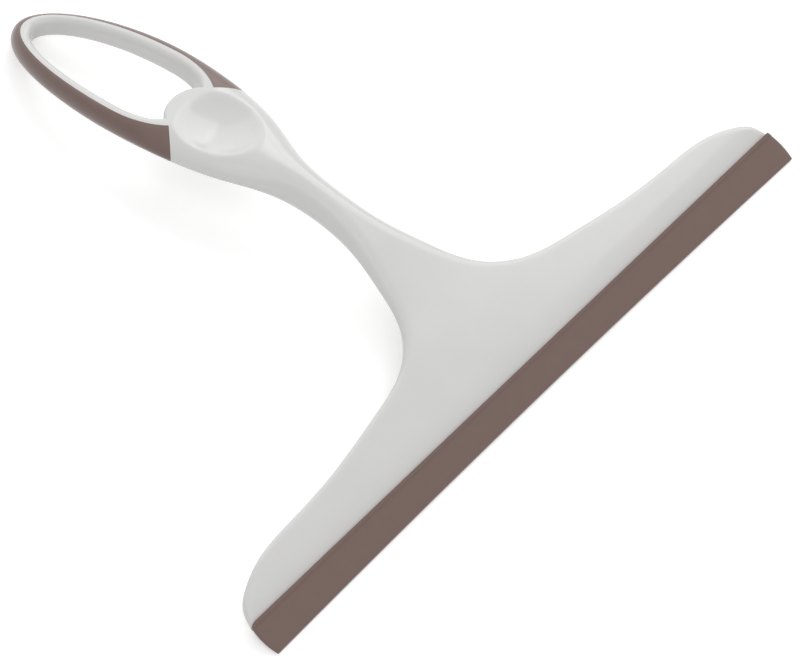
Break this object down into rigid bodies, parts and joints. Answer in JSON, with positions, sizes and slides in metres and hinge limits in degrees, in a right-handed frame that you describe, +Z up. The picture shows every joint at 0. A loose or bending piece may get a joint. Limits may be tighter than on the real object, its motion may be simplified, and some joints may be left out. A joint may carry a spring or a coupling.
{
  "type": "window squeegee",
  "caption": "Hand squeegee with a wide bowed white body, a thumb dish, a loop handle with a soft outer band, and a tapered rubber wiping blade.",
  "frame": {"origin": "centre of the bounding box at the surface that the squeegee lies on", "axes": "+X along the blade, +Y from the blade to the loop handle, +Z up from the surface, with the bowed side on top"},
  "size_m": [0.2516, 0.2172, 0.0249],
  "materials": {
    "white_plastic": "glossy",
    "soft_grip": "matte",
    "blade_rubber": "matte"
  },
  "bodies": {
    "handle": {"handle_body": "white_plastic", "grip_band": "soft_grip", "blade_root": "blade_rubber"},
    "lip": {"blade_lip": "blade_rubber"}
  },
  "joints": [
    {"name": "lip_flex", "type": "hinge", "parent": "handle", "child": "lip", "pos_m": [0, -0.10393, 0.00198], "axis": [1, 0, 0], "range_deg": [-25, 25], "stiffness_Nm_per_rad": 0.2}
  ]
}
